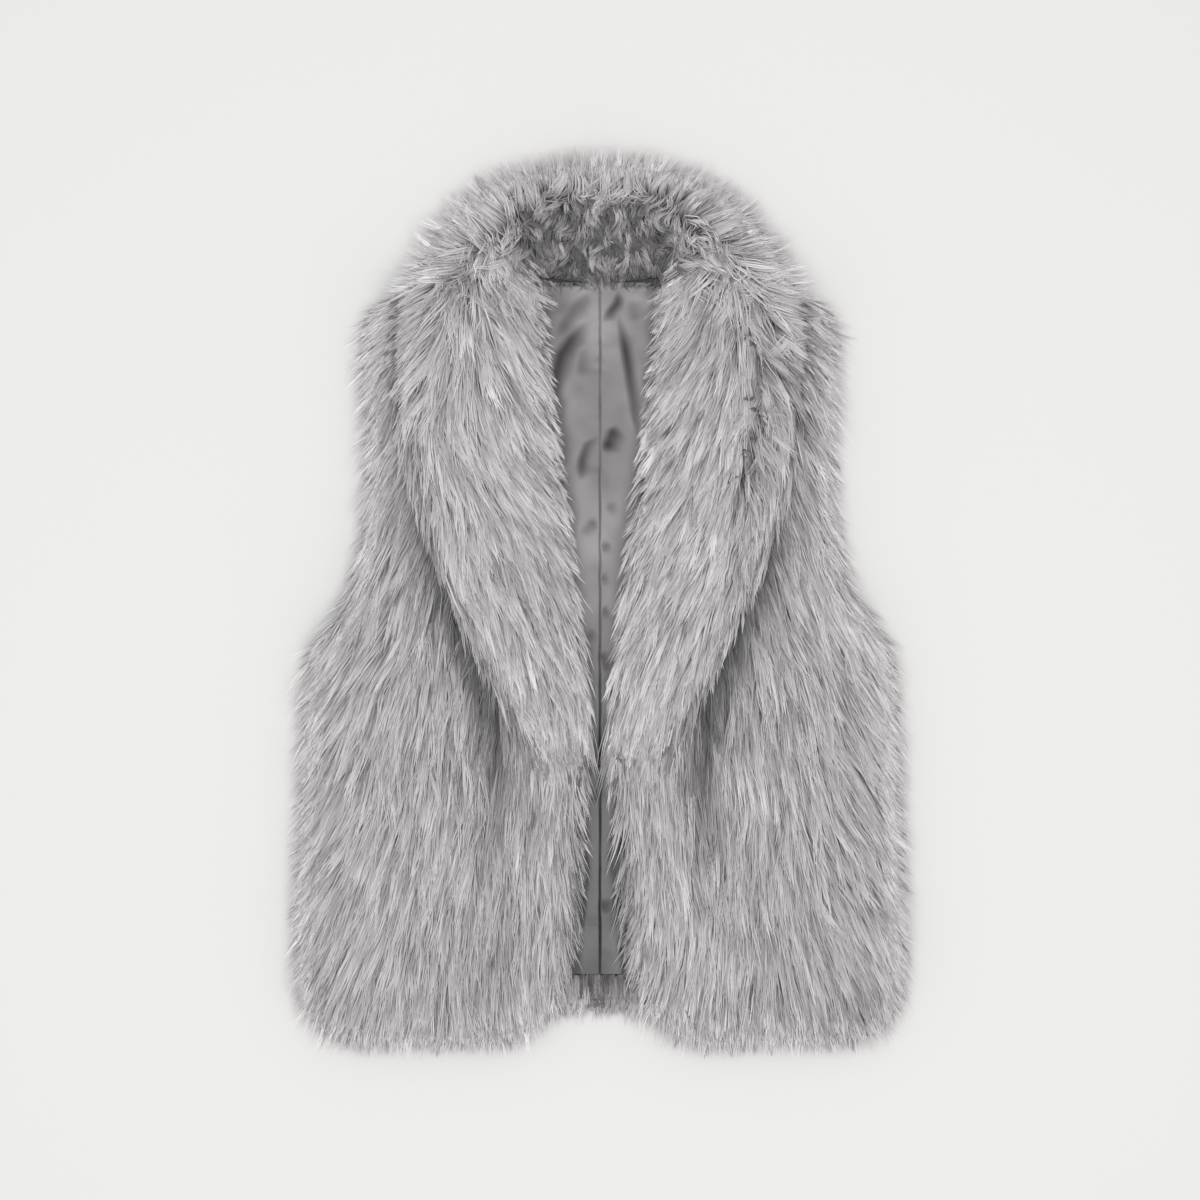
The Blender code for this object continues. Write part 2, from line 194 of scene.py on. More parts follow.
class Form:
    """Top and underside of a CAD solid as heights on a square grid, and the distance to its outline."""

    def __init__(self, node, lift=0.0, seam=None):
        """lift raises the top near the outline. Above seam, the solid's mirror image past X = 0 joins it."""
        low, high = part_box(node)
        self.x0 = low.x / MM - MARGIN
        self.y0 = low.y / MM - MARGIN
        across = int((high.x / MM + MARGIN - self.x0) / GRID) + 1
        along = int((high.y / MM + MARGIN - self.y0) / GRID) + 1
        self.xs = self.x0 + GRID * np.arange(across)
        self.ys = self.y0 + GRID * np.arange(along)
        top, under = self.measured(node, seam)
        edge = self.carried_on(top, under)
        self.edge = blurred(edge, 1)
        self.top = blurred(top, 2) + lift * ease(1.0 - self.edge / 18.0)
        self.under = blurred(under, 1)
        self.slope_y, self.slope_x = np.gradient(blurred(self.top, 2), GRID)
        self.out_y, self.out_x = np.gradient(-blurred(edge, 3), GRID)

    def measured(self, node, seam):
        """Heights of top and underside by rays from above and below, not a number beside the solid."""
        solid = BVHTree.FromObject(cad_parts[node], bpy.context.evaluated_depsgraph_get())
        top = np.full((len(self.ys), len(self.xs)), np.nan)
        under = np.full(top.shape, np.nan)
        down, up = Vector((0, 0, -1)), Vector((0, 0, 1))
        for j, y in enumerate(self.ys):
            for i, x in enumerate(self.xs):
                over = max(abs(x), 0.5) if seam is not None and y > seam else x
                hit = solid.ray_cast(Vector((over * MM, y * MM, 1.0)), down)[0]
                if hit is not None:
                    top[j, i] = hit.z / MM
                    hit = solid.ray_cast(Vector((over * MM, y * MM, -1.0)), up)[0]
                    under[j, i] = hit.z / MM if hit is not None else top[j, i]
        return top, under

    def carried_on(self, top, under):
        """Distance inside the outline, negative beside the solid, where the heights go on and fall."""
        inside = ~np.isnan(top)
        border = inside & ~(np.roll(inside, 1, 0) & np.roll(inside, -1, 0)
                            & np.roll(inside, 1, 1) & np.roll(inside, -1, 1))
        # A mirror image goes on past the first column, which is no outline
        border[:, 0] = False
        cells = np.argwhere(border)
        tree = KDTree(len(cells))
        for number, (j, i) in enumerate(cells):
            tree.insert((self.xs[i], self.ys[j], 0.0), number)
        tree.balance()
        edge = np.zeros(top.shape)
        for j, y in enumerate(self.ys):
            for i, x in enumerate(self.xs):
                _, number, distance = tree.find((x, y, 0.0))
                if inside[j, i]:
                    edge[j, i] = distance + GRID / 2
                else:
                    nearest = tuple(cells[number])
                    edge[j, i] = GRID / 2 - distance
                    top[j, i] = top[nearest] - 0.4 * distance
                    under[j, i] = under[nearest] - 0.5 * distance
        return edge

    def at(self, grid, x, y):
        """Grid read at points between its own."""
        u = np.clip((x - self.x0) / GRID, 0.0, len(self.xs) - 1.001)
        v = np.clip((y - self.y0) / GRID, 0.0, len(self.ys) - 1.001)
        i, j = u.astype(int), v.astype(int)
        u, v = u - i, v - j
        near = grid[j, i] * (1.0 - u) + grid[j, i + 1] * u
        far = grid[j + 1, i] * (1.0 - u) + grid[j + 1, i + 1] * u
        return near * (1.0 - v) + far * v

    def inset(self, x, y):
        """Distance of plan points inside the outline, negative outside."""
        return self.at(self.edge, x, y)

    def cloth(self, x, y):
        """Height of the cloth that the pile is rooted in."""
        depth = EDGE_DEPTH + (INNER_DEPTH - EDGE_DEPTH) * ease(self.inset(x, y) / 18.0)
        return np.maximum(self.at(self.top, x, y) - depth, self.at(self.under, x, y) + 1.0)


class Flow:
    """Comb field of unit vectors on a form's grid, from guides."""

    def __init__(self, form, guides, reach=32.0):
        x, y = np.meshgrid(form.xs, form.ys)
        self.form = form
        self.x = np.zeros(x.shape)
        self.y = np.zeros(x.shape)
        for gx, gy, angle in guides:
            weight = np.exp(-((x - gx) ** 2 + (y - gy) ** 2) / (2.0 * reach ** 2)) + 1e-9
            self.x += weight * math.sin(math.radians(angle))
            self.y -= weight * math.cos(math.radians(angle))
        size = np.maximum(np.hypot(self.x, self.y), 1e-12)
        self.x, self.y = self.x / size, self.y / size

    def follow(self, x, y, length, turn, bias):
        """Plan points at each level of strands that start at x, y, turned from the field by turn."""
        px, py = [x], [y]
        cos, sin = np.cos(turn), np.sin(turn)
        for step in np.diff(LEVELS):
            for _ in range(2):
                ux, uy = self.form.at(self.x, x, y), self.form.at(self.y, x, y)
                near = bias * ease(1.0 - self.form.inset(x, y) / 16.0)
                ux = ux + near * self.form.at(self.form.out_x, x, y)
                uy = uy + near * self.form.at(self.form.out_y, x, y)
                size = np.maximum(np.hypot(ux, uy), 1e-6)
                ux, uy = ux / size, uy / size
                x = x + (ux * cos - uy * sin) * length * step / 2.0
                y = y + (ux * sin + uy * cos) * length * step / 2.0
            px.append(x)
            py.append(y)
        return np.stack(px, 1), np.stack(py, 1)


def curly(form, rng, cell, low, high):
    """Comb field between two plan corners that turns at random every cell."""
    guides = []
    for x in np.arange(low[0], high[0], cell):
        for y in np.arange(low[1], high[1], cell):
            guides.append((x + cell * rng.uniform(-0.4, 0.4), y + cell * rng.uniform(-0.4, 0.4),
                           rng.normal(0.0, 55.0)))
    return Flow(form, guides, 0.55 * cell)


class Drift:
    """Smooth random field between -1 and 1, whose features are about one cell wide."""

    def __init__(self, rng, cell):
        self.cell = cell
        count = int(2.0 * REACH / cell) + 3
        self.values = rng.uniform(-1.0, 1.0, (count, count))

    def at(self, x, y):
        u, v = (x + REACH) / self.cell, (y + REACH) / self.cell
        i, j = np.floor(u).astype(int), np.floor(v).astype(int)
        u, v = ease(u - i), ease(v - j)
        near = self.values[j, i] * (1.0 - u) + self.values[j, i + 1] * u
        far = self.values[j + 1, i] * (1.0 - u) + self.values[j + 1, i + 1] * u
        return near * (1.0 - v) + far * v


class Locks:
    """Scattered centres, about one cell apart, that strands gather to."""

    def __init__(self, rng, cell):
        self.cell = cell
        self.count = int(2.0 * REACH / cell) + 3
        self.place = rng.uniform(0.0, 1.0, (self.count, self.count, 2))

    def nearest(self, x, y):
        """Number and place of the centre nearest to each point."""
        i0 = np.floor((x + REACH) / self.cell).astype(int)
        j0 = np.floor((y + REACH) / self.cell).astype(int)
        best = np.full(x.shape, 1e9)
        number = np.zeros(x.shape, int)
        cx, cy = x.copy(), y.copy()
        for dj in (-1, 0, 1):
            for di in (-1, 0, 1):
                i = np.clip(i0 + di, 0, self.count - 1)
                j = np.clip(j0 + dj, 0, self.count - 1)
                ox = (i + self.place[j, i, 0]) * self.cell - REACH
                oy = (j + self.place[j, i, 1]) * self.cell - REACH
                distance = (x - ox) ** 2 + (y - oy) ** 2
                closer = distance < best
                best = np.where(closer, distance, best)
                number = np.where(closer, j * self.count + i, number)
                cx, cy = np.where(closer, ox, cx), np.where(closer, oy, cy)
        return number, cx, cy


def value_at(field, x, y):
    """A field at plan points. A number is a field that is the same everywhere."""
    return field(x, y) if callable(field) else field


def scatter(form, count, rng, inset, accept):
    """Random root points that are at least inset inside a form and that accept takes."""
    xs, ys, found = [], [], 0
    while found < count:
        x = rng.uniform(form.xs[0], form.xs[-1], 4 * count)
        y = rng.uniform(form.ys[0], form.ys[-1], 4 * count)
        keep = (form.inset(x, y) > value_at(inset, x, y)) & accept(x, y)
        xs.append(x[keep])
        ys.append(y[keep])
        found += int(keep.sum())
    return np.concatenate(xs)[:count], np.concatenate(ys)[:count]


def within_bounds(px, py, rng):
    """Strands drawn back towards their roots where their tips pass the furthest that they may go."""
    room = np.ones(len(px))
    within = 6.0 * rng.uniform(size=len(px)) ** 2
    for values, limit in ((px, HALF_WIDTH - within), (py, HALF_LENGTH - within)):
        foot, tip = np.abs(values[:, 0]), np.abs(values[:, 3])
        room = np.where(tip > limit, np.minimum(room, (limit - foot) / np.maximum(tip - foot, 1e-6)), room)
    return tuple(values[:, :1] + (values - values[:, :1]) * room[:, None] for values in (px, py))


def ribbon_sides(form, points, roll):
    """Unit vectors across the strands: level with the form's top, then rolled about the strand."""
    px, py = points[:, :, 0], points[:, :, 1]
    along = np.gradient(points, axis=1)
    along /= np.maximum(np.linalg.norm(along, axis=2, keepdims=True), 1e-9)
    normal = np.stack((-np.clip(form.at(form.slope_x, px, py), -1.5, 1.5),
                       -np.clip(form.at(form.slope_y, px, py), -1.5, 1.5), np.ones(px.shape)), 2)
    side = np.cross(normal, along)
    side /= np.maximum(np.linalg.norm(side, axis=2, keepdims=True), 1e-9)
    roll = roll[:, None, None]
    return side * np.cos(roll) + np.cross(along, side) * np.sin(roll)


def grow(form, flow, rng, count, accept, floor, length=62.0, width=1.25, lock=4.8, pull=0.74,
         inset=2.5, lay=5.0, bias=0.3, mess=0.0, shade=0.0, sink=0.0, rim=0.0, beyond=9.0, trim=5.0,
         start=0.0, drop=None):
    """Pile of one piece: points (strand, level, 3), widths, side vectors, tones, and how light the roots
    start against the painted shade at the root.

    Roots are where accept takes them, at least inset inside the form, and no strand goes below floor.
    Strands close up by pull in locks that are lock wide, lie up to lay under the form's top, and turn
    outwards by bias near an edge. They pass the outline by up to beyond, less up to trim. mess and sink say
    how untidy and how deep the pile is at a plan point, and shade adds to its tone there, mostly painted
    light and shade. rim says how free its edge is there, where tips get painted light and roots less painted
    shade, and start how light the roots are against the painted shade at the root. drop gives other heights.
    """
    x, y = scatter(form, count, rng, inset, accept)
    small, large = Locks(rng, lock), Locks(rng, 2.7 * lock)
    wander, curl, swell = Drift(rng, 45.0), Drift(rng, 15.0), Drift(rng, 26.0)
    number, cx, cy = small.nearest(x, y)
    _, lx, ly = large.nearest(x, y)
    of_lock = rng.normal(size=(4, small.count ** 2))
    share_of_lock = rng.uniform(size=(3, small.count ** 2))

    # Directions and lengths
    def turn_at(px, py, own):
        untidy = value_at(mess, px, py)
        even = math.radians(8) * wander.at(px, py) + math.radians(6) * curl.at(px, py)
        return even * (1.0 + 5.0 * untidy) + math.radians(6) * own * (1.0 + 3.0 * untidy + 7.0 * untidy ** 2)

    lock_turn = turn_at(cx, cy, of_lock[0][number])
    own_turn = lock_turn + np.radians(4.5) * rng.normal(size=count) * (1.0 + 3.0 * value_at(mess, x, y))
    stray = rng.uniform(size=count) < 0.02
    own_turn = own_turn + np.where(stray, np.radians(rng.uniform(-18, 18, count)), 0.0)
    own_length = length * (1.0 + 0.10 * of_lock[1][number] + 0.12 * swell.at(cx, cy)
                           - 0.45 * value_at(mess, cx, cy))
    own_length = np.clip(own_length, 0.45 * length, 1.35 * length)
    own_length = own_length * (1.0 - 0.42 * rng.uniform(size=count) ** 1.5)

    # Locks end near the outline, and single strands pass it
    past = 2.0 - value_at(beyond, x, y) * share_of_lock[0][number] ** 2 + trim * rng.uniform(size=count)
    ends_x, ends_y = flow.follow(x, y, own_length, own_turn, bias)
    begin, end = form.inset(x, y), form.inset(ends_x[:, -1], ends_y[:, -1])
    past = np.minimum(past, begin - 8.0)
    room = np.clip((begin - past) / np.maximum(begin - end, 1e-6), 0.12, 1.0)
    short = np.where(end < past, 1.0 - room, 0.0)
    own_length = own_length * (1.0 - short)

    # Plan: strands close up in their small lock, and a little in their large one
    own_x, own_y = flow.follow(x, y, own_length, own_turn, bias)
    lock_x, lock_y = flow.follow(cx, cy, own_length, lock_turn, bias)
    large_x, large_y = flow.follow(lx, ly, own_length, lock_turn, bias)
    gather = np.where(stray, 0.15, pull)[:, None] * LEVELS ** 0.75
    loose = 0.20 * LEVELS ** 1.3
    px = own_x + (lock_x - own_x) * gather
    py = own_y + (lock_y - own_y) * gather
    px, py = px + (large_x - px) * loose, py + (large_y - py) * loose
    sway = rng.normal(size=(2, count, 4)) * np.array([0.0, 0.45, 0.5, 0.7])
    px, py = within_bounds(px + sway[0], py + sway[1] * 0.4, rng)

    # Heights: strands rise from the cloth and lie near the top, or over the wall at an edge
    top, under, edge = (form.at(grid, px, py) for grid in (form.top, form.under, form.edge))
    root = form.cloth(x, y)[:, None] + 0.4
    low = share_of_lock[1][number]
    own_lay = lay * (low + 0.15 * rng.uniform(size=count))
    own_lay = np.where(stray, -rng.uniform(0.5, 3.5, count), own_lay + 5.0 * short)
    wall = 0.75 * share_of_lock[2][number] + 0.2 * rng.uniform(size=count) + 0.65 * short
    wall = np.clip(wall, 0.0, 1.0) ** 2.3
    near = ease(1.0 - edge / 7.0)
    lying = own_lay[:, None] * (1.0 - near) + near * wall[:, None] * np.maximum(top - under - 1.5, 0.0)
    rise = 1.0 - (1.0 - LEVELS) ** 3.4
    pz = root + (top - lying - value_at(sink, px, py) - root) * rise
    if drop is not None:
        pz = drop(px, py, rise, rng)
    pz = np.maximum(pz, value_at(floor, px, py))
    points = np.stack((px, py, pz), 2)
    side = ribbon_sides(form, points, np.radians(rng.normal(0.0, 15.0, count) + 12.0 * of_lock[2][number]))

    # Widths and shades
    wide = width * rng.uniform(0.75, 1.25, count) * np.where(stray, 0.55, 1.0)
    tone = 0.54 + 0.07 * of_lock[3][number] + 0.055 * rng.normal(size=count) + 0.03 * swell.at(x, y)
    # Strands that lie low or are cut short are darker: painted shade
    tone = tone - 0.40 * low ** 1.3 + np.where(stray, 0.10, 0.0) - 0.06 * short
    # Tips near a free edge get painted light, and roots there less painted shade
    outer = value_at(rim, px[:, 3], py[:, 3])
    tone = tone + value_at(shade, px[:, 2], py[:, 2]) + 0.17 * outer * ease(1.0 - (edge[:, 3] + 3.0) / 12.0)
    begins = np.clip(start + 0.7 * outer * ease(1.0 - edge[:, 0] / 20.0), 0.0, 0.9)
    return points, wide[:, None] * TAPER, side, np.clip(tone, 0.0, 0.999), begins


def on_side(side, strands):
    """Strands of the wearer's left half, on the side that 1 (left) or -1 (right) names."""
    points, widths, across, tone, begins = strands
    flip = np.array([side, 1.0, 1.0])
    return points * flip, widths, across * flip, tone, begins


def joined(*several):
    return tuple(np.concatenate(parts) for parts in zip(*several))


def pile(name, strands, finish):
    """Mesh of tapered ribbons. Its UV map holds the shade across and root to tip along."""
    points, widths, side, tone, begins = strands
    count = len(points)
    left = points[:, :3] - side[:, :3] * widths[:, :3, None] / 2.0
    right = points[:, :3] + side[:, :3] * widths[:, :3, None] / 2.0
    verts = np.concatenate((left, right, points[:, 3:]), 1)
    loops = np.arange(count)[:, None] * verts.shape[1] + CORNERS
    starts = np.arange(count)[:, None] * len(CORNERS) + FACE_STARTS
    mesh = bpy.data.meshes.new(name)
    mesh.vertices.add(verts.size // 3)
    mesh.vertices.foreach_set("co", (verts * MM).astype(np.float32).ravel())
    mesh.loops.add(loops.size)
    mesh.loops.foreach_set("vertex_index", loops.astype(np.int32).ravel())
    mesh.polygons.add(starts.size)
    mesh.polygons.foreach_set("loop_start", starts.astype(np.int32).ravel())
    mesh.update(calc_edges=True)
    across = np.array([0.1, 0.1, 0.1, 0.9, 0.9, 0.9, 0.5])[CORNERS]
    level = LEVELS[[0, 1, 2, 0, 1, 2, 3]][CORNERS]
    uv = np.empty((count, len(CORNERS), 2))
    uv[:, :, 0] = (np.floor(tone * SHADES)[:, None] + across) / SHADES
    uv[:, :, 1] = 0.02 + 0.96 * (begins[:, None] + (1.0 - begins[:, None]) * level)
    layer = mesh.uv_layers.new(name="OFBake")
    layer.data.foreach_set("uv", uv.astype(np.float32).ravel())
    mesh.shade_smooth()
    return place(name, mesh, finish)


def place(name, mesh, finish):
    """Object of a mesh, riding on the vest's one body."""
    mesh.materials.append(finish)
    piece = bpy.data.objects.new(name, mesh)
    bpy.context.scene.collection.objects.link(piece)
    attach(piece, "root")
    return piece


def sheet_mesh(name, rows, thickness):
    """Closed thin sheet below a grid of points: rows of (columns, 3), all of one size."""
    top = np.array(rows)
    count, columns = top.shape[:2]
    low = top - np.array([0.0, 0.0, thickness])
    verts = np.concatenate((top.reshape(-1, 3), low.reshape(-1, 3))) * MM
    shift = count * columns
    faces = []
    for j in range(count - 1):
        for i in range(columns - 1):
            a = j * columns + i
            faces.append((a, a + 1, a + columns + 1, a + columns))
            faces.append((a + shift, a + columns + shift, a + columns + 1 + shift, a + 1 + shift))
    ring = list(range(columns)) + [j * columns + columns - 1 for j in range(1, count)]
    ring += list(range(count * columns - 2, (count - 1) * columns - 1, -1))
    ring += [j * columns for j in range(count - 2, 0, -1)]
    for here, there in zip(ring, ring[1:] + ring[:1]):
        faces.append((here, here + shift, there + shift, there))
    mesh = bpy.data.meshes.new(name)
    mesh.from_pydata(verts.tolist(), [], faces)
    mesh.update()
    middle = (count // 2) * (columns - 1) + columns // 2
    if mesh.polygons[2 * middle].normal.z < 0.0:
        mesh.flip_normals()
    mesh.shade_smooth()
    mesh.set_sharp_from_angle(angle=math.radians(50.0))
    return mesh


def extent(form, y, inset):
    """Lowest and highest x on a row where the outline is more than inset away."""
    xs = np.arange(form.xs[0], form.xs[-1], 0.5)
    inner = xs[form.inset(xs, np.full(xs.shape, y)) > inset]
    return (inner[0], inner[-1]) if len(inner) else None


def hem_arch(x, y):
    """y of a point once the hem of the back is arched up at its middle."""
    return y + 17.0 * np.maximum(1.0 - (x / 110.0) ** 2, 0.0) ** 2 * ease((-300.0 - y) / 44.0)


def neck_seam(x, y):
    """y of a point once the inside of the collar is drawn down to the lining at the neck."""
    pull = ease((290.0 - y) / 22.0) * ease((y - NECK_SEAM) / 5.0) * ease((60.0 - x) / 12.0)
    return y - 0.85 * (y - NECK_SEAM + 0.6) * pull


def cloth_rows(form, inset, step=5.0, columns=26, side=1.0, least=-REACH, bend=None, height=None):
    """Grid of points of a cloth that ends inset inside a form, row by row from the hem up.

    It starts at x = least or later. bend gives the points another y, and height another height than the
    cloth's under its pile.
    """
    rows = []
    ys = np.arange(form.ys[0], form.ys[-1], 0.5)
    good = [y for y in ys if extent(form, y, inset)]
    count = int((good[-1] - good[0]) / step)
    for y in np.linspace(good[0] + 0.2, good[-1] - 0.2, count):
        span = extent(form, y, inset)
        if span is None:
            continue
        x = np.linspace(max(span[0], least), span[1], columns)
        yy = np.full(columns, y) if bend is None else bend(x, y)
        z = form.cloth(x, yy) if height is None else height(x, yy)
        rows.append(np.stack((side * x, yy, z), 1))
    return rows


class Finish:
    """Material whose nodes are added and linked in one go."""

    def __init__(self, name):
        self.material = bpy.data.materials.new(name)
        self.material.use_nodes = True
        self.tree = self.material.node_tree
        self.shader = self.tree.nodes["Principled BSDF"]

    def fill(self, node, inputs):
        """Link each input that is given a socket, and set the others."""
        for key, value in inputs.items():
            if isinstance(value, bpy.types.NodeSocket):
                self.tree.links.new(value, node.inputs[key])
            else:
                node.inputs[key].default_value = value

    def surface(self, **inputs):
        """Shader inputs, their names with underscores for spaces."""
        self.fill(self.shader, {key.replace("_", " "): value for key, value in inputs.items()})

    def add(self, kind, inputs=None, **settings):
        node = self.tree.nodes.new("ShaderNode" + kind)
        for key, value in settings.items():
            setattr(node, key, value)
        self.fill(node, inputs or {})
        return node

    def place_at(self):
        return self.add("TexCoord").outputs["Object"]

    def noise(self, scale, detail):
        inputs = {"Vector": self.place_at(), "Scale": scale, "Detail": detail}
        return self.add("TexNoise", inputs).outputs["Fac"]

    def ramp(self, factor, *stops):
        """Colour that runs through stops, each a position and a colour."""
        node = self.add("ValToRGB", {"Fac": factor})
        elements = node.color_ramp.elements
        for _ in stops[2:]:
            elements.new(0.5)
        for element, (position, colour) in zip(elements, stops):
            element.position = position
            element.color = (*colour, 1.0)
        return node.outputs["Color"]

    def maths(self, operation, *values):
        return self.add("Math", dict(enumerate(values)), operation=operation).outputs[0]

    def times(self, colour, strength):
        """Colour multiplied by another, or by a strength."""
        mix = self.add("Mix", data_type="RGBA", blend_type="MULTIPLY")
        self.fill(mix, {"Factor": 1.0, "A": colour, "B": strength})
        return mix.outputs["Result"]

    def bump(self, height, strength, distance):
        """Small relief of the surface."""
        node = self.add("Bump", {"Height": height, "Strength": strength, "Distance": distance})
        self.surface(Normal=node.outputs["Normal"])


def pile_material(name, root, middle, tip):
    """Fur: dark at the root, which is painted shade deep in the pile, light at the tip, each strand a tone of
    its own, and darker at its sides, painted shade that makes it look rounder than it is.
    """
    finish = Finish(name)
    split = finish.add("SeparateXYZ", {"Vector": finish.add("UVMap", uv_map="OFBake").outputs["UV"]})
    # Darker towards the root: painted shade deep in the pile
    colour = finish.ramp(split.outputs["Y"], (0.05, root), (0.5, middle), (0.92, tip))
    column = finish.maths("MULTIPLY", split.outputs["X"], float(SHADES))
    across = finish.maths("SUBTRACT", finish.maths("FRACT", column), 0.5)
    tone = finish.maths("MULTIPLY_ADD", finish.maths("FLOOR", column), SHADE_RANGE / SHADES,
                        1.0 - SHADE_RANGE / 2.0)
    # Each ribbon darker towards its sides: painted shade of a round strand
    off = finish.maths("POWER", finish.maths("ABSOLUTE", across), 2.0)
    strength = finish.maths("MULTIPLY", tone, finish.maths("MULTIPLY_ADD", off, -2.0, 1.07))
    grey = finish.add("CombineColor", {"Red": strength, "Green": strength, "Blue": strength})
    finish.surface(Base_Color=finish.times(colour, grey.outputs["Color"]), Roughness=0.52,
                   Specular_IOR_Level=0.35, Sheen_Weight=0.10, Sheen_Roughness=0.4)
    return finish.material


def underfur_material():
    """The cloth that the pile is rooted in: felted and uneven, and dark as painted shade deep in the pile."""
    finish = Finish("underfur")
    # Dark grey with uneven tone: painted shade of the deep pile
    colour = finish.ramp(finish.noise(240.0, 4.0), (0.3, (0.085, 0.080, 0.084)), (0.7, (0.155, 0.148, 0.152)))
    finish.surface(Base_Color=colour, Roughness=0.9, Specular_IOR_Level=0.1)
    finish.bump(finish.noise(900.0, 3.0), 0.6, 0.0006)
    return finish.material


def satin_material():
    """Lining satin: softly glossy with a fine weave, with painted shade low down and in its creases, which
    are also duller.
    """
    finish = Finish("satin")
    colour = finish.ramp(finish.noise(22.0, 2.0), (0.3, (0.148, 0.140, 0.145)), (0.7, (0.212, 0.199, 0.206)))
    # Darker towards the bottom, where it lies deep between the fronts: painted shade
    split = finish.add("SeparateXYZ", {"Vector": finish.place_at()})
    painted_low_shade = finish.add("MapRange", {"Value": split.outputs["Y"], "From Min": -0.17, "From Max": -0.01,
                                       "To Min": 0.13, "To Max": 1.0}).outputs["Result"]
    # Darker in the creases: painted shade; duller there too
    painted_crease_shade = finish.add("Attribute", attribute_name="painted_crease_shade").outputs["Fac"]
    strength = finish.maths("MULTIPLY", painted_low_shade, finish.maths("MULTIPLY_ADD", painted_crease_shade, -0.72, 1.0))
    finish.surface(Base_Color=finish.times(colour, strength),
                   Roughness=finish.maths("MULTIPLY_ADD", painted_crease_shade, 0.5, 0.38),
                   Specular_IOR_Level=0.65, Sheen_Weight=0.15, Sheen_Roughness=0.35)
    weave = finish.add("TexWave", {"Vector": finish.place_at(), "Scale": 520.0, "Distortion": 1.2,
                                   "Detail": 2.0}, wave_type="BANDS", bands_direction="X")
    finish.bump(weave.outputs["Fac"], 0.10, 0.0003)
    return finish.material


def nearest_on(line, values, x, y):
    """Distance of plan points to a line, its points' values where it is nearest, and how far right it is."""
    best = np.full(x.shape, 1e9)
    value, handed = np.zeros(x.shape), np.zeros(x.shape)
    for (ax, ay), (bx, by), a_value, b_value in zip(line, line[1:], values, values[1:]):
        size = np.hypot(bx - ax, by - ay)
        ux, uy = (bx - ax) / size, (by - ay) / size
        t = np.clip((x - ax) * ux + (y - ay) * uy, 0.0, size)
        dx, dy = x - ax - ux * t, y - ay - uy * t
        distance = np.hypot(dx, dy)
        closer = distance < best
        best = np.where(closer, distance, best)
        value = np.where(closer, a_value + (b_value - a_value) * t / size, value)
        handed = np.where(closer, dx * uy - dy * ux, handed)
    return best, value, handed


def along_line(line, half, x, y):
    """Strength of a line at plan points, fading over its half width."""
    points = np.array(line, float)
    best, strength, _ = nearest_on(points[:, :2], points[:, 2], x, y)
    return strength * np.exp(-(best / half) ** 2)


def crease_relief(creases, x, y):
    """Height of soft uneven troughs along lines, steeper on one side, and how much painted shade lies in
    them, 0 to 1.
    """
    relief, dark = np.zeros(x.shape), np.zeros(x.shape)
    for depth, half, line in creases:
        points = np.array(line, float)
        runs = np.append(0.0, np.cumsum(np.hypot(*np.diff(points, axis=0).T)))
        length = runs[-1]
        best, run, handed = nearest_on(points, runs, x, y)
        share = run / length
        taper = ease(share / 0.32) * ease((1.0 - share) / 0.32)
        fade = taper * (0.82 + 0.18 * np.sin(6.0 * share + 5.0 * depth))
        steep, gentle = min(0.9 * half, 0.4 * length), min(1.8 * half, 0.5 * length)
        to_steep = ease(0.5 + 0.5 * handed / np.maximum(best, 0.5))
        across = best / ((gentle + (steep - gentle) * to_steep) * (0.35 + 0.65 * taper))
        relief = relief - depth * np.exp(-across ** 2) * fade
        # Painted shade along the crease
        dark = np.maximum(dark, depth / 2.4 * np.exp(-(across / 0.85) ** 2) * fade)
    return relief, dark


def lining_height(x, y, room, drifts):
    """Top of the lining: creased where it shows, flat where a front lies on it."""
    broad, fine, on_seam = drifts
    shown = ease(room / 8.0)
    slow = 0.9 * broad.at(x, y) + 0.5 * fine.at(x, y)
    seam = np.exp(-(np.abs(x) / 0.7) ** 2)
    gathers = 0.5 + 0.5 * on_seam.at(np.zeros(x.shape), y)
    pucker = 0.4 * gathers * np.sin(y / 1.4 + 3.0 * np.sin(y / 13.0) + x / 9.0) * np.exp(-np.abs(x) / 3.5)
    relief = 0.7 * crease_relief(CREASES, x, y)[0] + slow + pucker + 1.0
    hidden = crease_relief(HIDDEN_CREASES, x, y)[0]
    return LINING_TOP + relief * shown + hidden * (1.0 - shown) - (0.35 + 0.4 * gathers) * seam


def lining_columns(far):
    """x of the lining's columns from its centre seam out to far, close together where it shows."""
    seam, hidden = 0.04, 58.0
    shown = np.concatenate(((0.0, 0.5, 1.1, 1.8, 2.8, 4.2), np.arange(6.0, 40.0, 1.5),
                            np.arange(40.0, hidden, 4.0)))
    if far <= hidden:
        return seam + (far - seam) * np.concatenate((shown / shown[-1] * 0.96, np.linspace(0.965, 1, 10)))
    return np.concatenate((seam + shown, np.linspace(seam + hidden, far, 10)))


